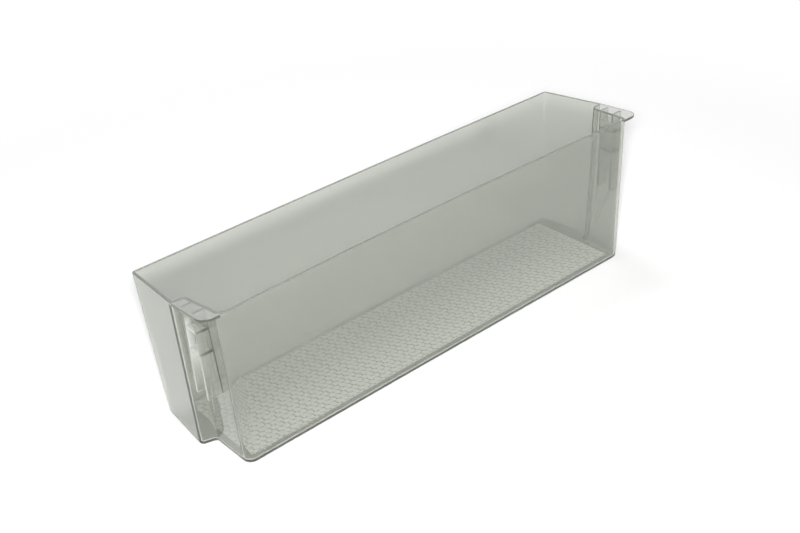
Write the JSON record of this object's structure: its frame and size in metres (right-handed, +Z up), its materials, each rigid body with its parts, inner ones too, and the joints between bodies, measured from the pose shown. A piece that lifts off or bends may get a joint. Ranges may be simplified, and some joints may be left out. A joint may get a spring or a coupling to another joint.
{
  "type": "fridge door shelf",
  "caption": "Clear one-piece door shelf for a fridge: a deep open tub with stepped-in ends, a flat flange over each step and a lug channel under it.",
  "frame": {"origin": "middle of the underside, under the middle of the part's outline", "axes": "+X along the length, +Z up, the side with the two lug channels is -Y"},
  "size_m": [0.44, 0.1058, 0.135],
  "materials": {
    "clear_plastic": "clear, faintly grey-green, polished; floor inside with a fine honeycomb"
  },
  "bodies": {
    "root": {"door_shelf": "clear_plastic"}
  },
  "joints": []
}
